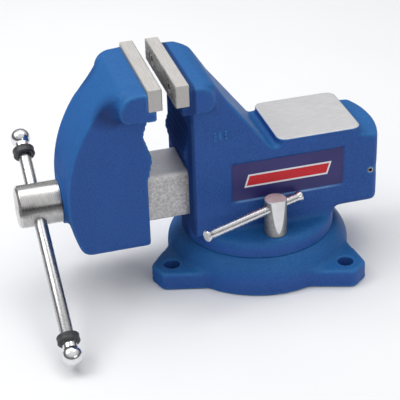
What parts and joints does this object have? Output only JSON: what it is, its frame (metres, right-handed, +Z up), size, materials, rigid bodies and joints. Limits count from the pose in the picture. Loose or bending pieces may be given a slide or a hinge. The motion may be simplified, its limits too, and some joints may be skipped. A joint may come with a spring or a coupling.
{
  "type": "bench vise",
  "caption": "Swivel-base mechanic's bench vise with steel jaw plates, pipe jaws, an anvil, a sliding-bar spindle handle and two swivel lock nuts with tommy bars.",
  "frame": {"origin": "swivel axis at the underside of the base", "axes": "+X from the moving jaw towards the anvil and tail, +Z up, -Y the side with the label; -X points along the screw to its handle"},
  "size_m": [0.3652, 0.2768, 0.2245],
  "materials": {
    "casting_blue": "satin enamel over sand-cast iron; bare machined metal on the slide bar and the anvil",
    "jaw_steel": "ground",
    "screw_steel": "black oxide",
    "nut_iron": "machined iron",
    "pin_steel": "plain",
    "spindle_steel": "turned",
    "bright_steel": "bright plated",
    "bumper_rubber": "matt",
    "label": "satin film"
  },
  "bodies": {
    "base": {"swivel_base": "casting_blue", "pivot_pin": "pin_steel"},
    "body": {"static_jaw": "casting_blue", "static_jaw_plate": "jaw_steel", "static_plate_screws": "screw_steel", "spindle_nut": "nut_iron", "nut_bolt": "screw_steel", "tail_plug": "casting_blue", "tail_pins": "pin_steel", "nameplate": "label", "lock_bolt_near": "screw_steel", "lock_bolt_far": "screw_steel"},
    "jaw": {"dynamic_jaw": "casting_blue", "dynamic_jaw_plate": "jaw_steel", "dynamic_plate_screws": "screw_steel"},
    "screw": {"spindle": "spindle_steel", "retaining_collar": "pin_steel", "collar_pin": "pin_steel"},
    "handle": {"handle_bar": "bright_steel", "handle_knob_upper": "bright_steel", "handle_knob_lower": "bright_steel", "handle_bumper_upper": "bumper_rubber", "handle_bumper_lower": "bumper_rubber"},
    "lock_near": {"lock_nut_near": "bright_steel"},
    "lock_far": {"lock_nut_far": "bright_steel"},
    "bar_near": {"lock_bar_near": "bright_steel"},
    "bar_far": {"lock_bar_far": "bright_steel"}
  },
  "joints": [
    {"name": "body_swivel", "type": "hinge", "parent": "base", "child": "body", "pos_m": [0, 0, 0.0347], "axis": [0, 0, 1], "continuous": true},
    {"name": "jaw_slide", "type": "slide", "parent": "body", "child": "jaw", "axis": [1, 0, 0], "range_m": [-0.0998, 0.012]},
    {"name": "spindle_turn", "type": "hinge", "parent": "jaw", "child": "screw", "pos_m": [-0.2012, 0, 0.0933], "axis": [1, 0, 0], "range_deg": [-7200, 900]},
    {"name": "handle_slide", "type": "slide", "parent": "screw", "child": "handle", "axis": [0, 0.8829, 0.4695], "range_m": [-0.0364, 0.1232]},
    {"name": "lock_near_turn", "type": "hinge", "parent": "body", "child": "lock_near", "pos_m": [0, -0.06, 0.07], "axis": [0, 0, 1], "range_deg": [-25, 0]},
    {"name": "lock_far_turn", "type": "hinge", "parent": "body", "child": "lock_far", "pos_m": [0, 0.06, 0.07], "axis": [0, 0, 1], "range_deg": [-25, 0]},
    {"name": "lock_near_bar_slide", "type": "slide", "parent": "lock_near", "child": "bar_near", "axis": [0.9304, 0.3665, 0], "range_m": [-0.0148, 0]},
    {"name": "lock_far_bar_slide", "type": "slide", "parent": "lock_far", "child": "bar_far", "axis": [-0.9304, -0.3665, 0], "range_m": [-0.0148, 0]}
  ],
  "couplings": [
    {"joint": "spindle_turn", "follows": "jaw_slide", "rad_per_m": 1256.6}
  ]
}
